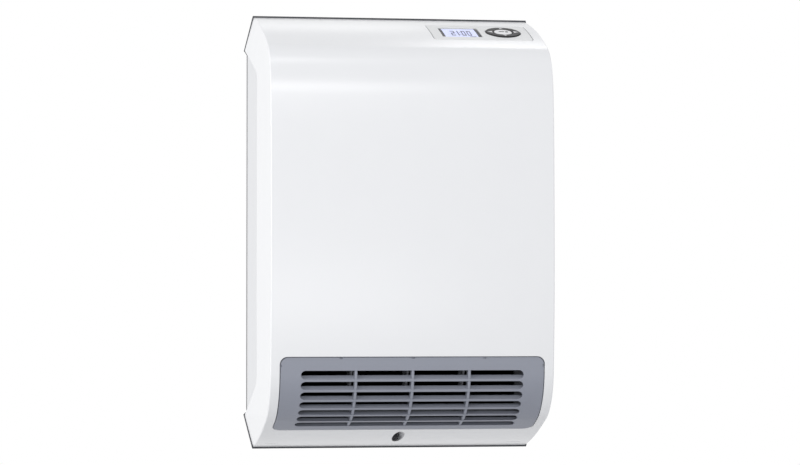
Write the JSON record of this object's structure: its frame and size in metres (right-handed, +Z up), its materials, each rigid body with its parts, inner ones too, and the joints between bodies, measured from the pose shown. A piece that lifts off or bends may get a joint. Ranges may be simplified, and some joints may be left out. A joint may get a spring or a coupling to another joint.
{
  "type": "bathroom wall fan heater",
  "caption": "White wall fan heater with a slanted control top, a wrap-round outlet grille at the bottom bend, and a cross-flow fan and finned heater inside.",
  "frame": {"origin": "on the wall, in the middle of the wall bracket's rear face", "axes": "+X to the right as one faces the heater, -Y out of the wall, +Z up"},
  "size_m": [0.2758, 0.1272, 0.402],
  "materials": {
    "cover_white": "smooth gloss",
    "casing_white": "fine matt",
    "panel_grey": "fine matt",
    "grille_grey": "satin",
    "control_grey": "satin",
    "window_clear": "polished",
    "display_face": "lit display",
    "dark_key": "satin",
    "pale_key": "semi gloss",
    "black_plastic": "moulded",
    "cream_plastic": "heat-proof, matt",
    "board_green": "lacquered board",
    "grey_silicone": "matt",
    "black_rubber": "matt",
    "winding_yellow": "taped winding",
    "capacitor_blue": "dipped",
    "copper_winding": "lacquered wire",
    "lead_red": "sleeved",
    "zinc_steel": "zinc plated",
    "dark_steel": "blackened",
    "lamination_steel": "bare laminations",
    "sintered_bronze": "oiled, porous",
    "fin_aluminium": "mill finish"
  },
  "bodies": {
    "heater_body": {"wall_bracket": "zinc_steel", "back_panel": "panel_grey", "rear_casing": "casing_white", "casing_screw_1": "zinc_steel", "casing_screw_2": "zinc_steel", "casing_screw_3": "zinc_steel", "casing_screw_4": "zinc_steel", "front_cover": "cover_white", "cover_screw": "dark_steel", "outlet_grille": "grille_grey", "control_panel": "control_grey", "display_window": "window_clear", "display_frame": "black_plastic", "display_glass": "display_face", "switch_mat": "grey_silicone", "control_board": "board_green", "wheel_bush": "sintered_bronze", "bush_rubber": "black_rubber", "fan_plate_left": "zinc_steel", "fan_plate_right": "zinc_steel", "fan_scroll": "black_plastic", "motor_stator": "lamination_steel", "motor_coil": "copper_winding", "motor_strap_front": "zinc_steel", "motor_strap_rear": "zinc_steel", "motor_bush_front": "sintered_bronze", "motor_bush_rear": "sintered_bronze", "motor_screw_1": "zinc_steel", "motor_screw_2": "zinc_steel", "outlet_duct": "black_plastic", "heater_frame": "cream_plastic", "heating_row_1": "fin_aluminium", "heating_row_2": "fin_aluminium", "heating_row_3": "fin_aluminium", "thermal_cutout": "cream_plastic", "thermal_fuse": "fin_aluminium", "power_board": "board_green", "board_screw_1": "zinc_steel", "board_screw_2": "zinc_steel", "heat_relay_1": "black_plastic", "heat_relay_2": "black_plastic", "transformer": "winding_yellow", "filter_capacitor": "capacitor_blue", "terminal_block": "cream_plastic", "cable_grommet": "black_rubber", "cable_clamp": "black_plastic", "clamp_screw": "zinc_steel", "room_sensor": "black_plastic", "motor_lead": "lead_red", "heater_lead": "lead_red", "display_ribbon": "grey_silicone"},
    "fan_rotor": {"fan_wheel": "black_plastic", "wheel_pin": "zinc_steel", "motor_shaft": "zinc_steel", "motor_rotor": "lamination_steel", "cooling_impeller": "black_plastic"},
    "carrier": {"ring_carrier": "black_plastic"},
    "ring_key": {"nav_ring": "dark_key"},
    "ok_key": {"centre_key": "pale_key"}
  },
  "joints": [
    {"name": "fan_spin", "type": "hinge", "parent": "heater_body", "child": "fan_rotor", "pos_m": [0, -0.064, -0.122], "axis": [1, 0, 0], "continuous": true},
    {"name": "ring_tilt_up_down", "type": "hinge", "parent": "heater_body", "child": "carrier", "pos_m": [0.0957, -0.0589, 0.08954], "axis": [1, 0, 0], "range_deg": [-2.5, 2.5], "stiffness_Nm_per_rad": 0.48},
    {"name": "ring_tilt_left_right", "type": "hinge", "parent": "carrier", "child": "ring_key", "pos_m": [0.0957, -0.0589, 0.08954], "axis": [0, 0.9426, 0.3338], "range_deg": [-2.5, 2.5], "stiffness_Nm_per_rad": 0.48},
    {"name": "centre_key_press", "type": "slide", "parent": "heater_body", "child": "ok_key", "axis": [0, 0.3338, -0.9426], "range_m": [0, 0.0008], "stiffness_N_per_m": 1800}
  ]
}
